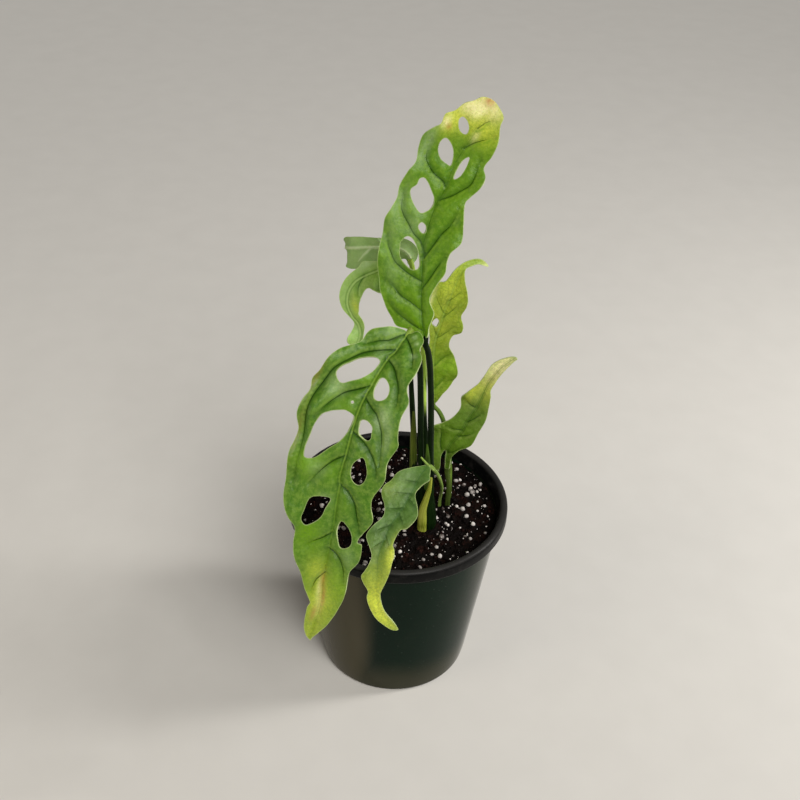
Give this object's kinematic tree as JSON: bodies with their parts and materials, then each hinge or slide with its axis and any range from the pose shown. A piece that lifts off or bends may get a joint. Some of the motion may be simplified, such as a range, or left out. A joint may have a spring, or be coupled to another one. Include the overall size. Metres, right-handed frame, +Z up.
{
  "type": "potted monstera obliqua plant",
  "caption": "Young monstera obliqua with long wavy leaves full of large oval holes, upright on thin stalks in a round tapered plastic nursery pot of dark soil with perlite.",
  "frame": {"origin": "centre of the pot's underside, on the ground", "axes": "+Z up along the pot's axis, +X to the picture's right, +Y away from the viewer"},
  "size_m": [0.106, 0.1294, 0.2937],
  "materials": {
    "pot_plastic": "gloss",
    "soil_mix": "rough",
    "stem_green": "satin",
    "stalk_green": "satin",
    "leaf_green": "satin",
    "leaf_yellow_green": "satin",
    "leaf_underside": "matte"
  },
  "bodies": {
    "root": {"pot": "pot_plastic", "soil": "soil_mix", "main_stem": "stem_green", "stalk_small": "stalk_green", "stalk_right": "stalk_green", "stalk_lower_right": "stalk_green", "leaf_top": "leaf_green", "leaf_front": "leaf_green", "leaf_right": "leaf_yellow_green", "leaf_lower_right": "leaf_yellow_green", "leaf_small": "leaf_green", "leaf_back_curled": "leaf_green", "leaf_back_upper": "leaf_underside"}
  },
  "joints": []
}
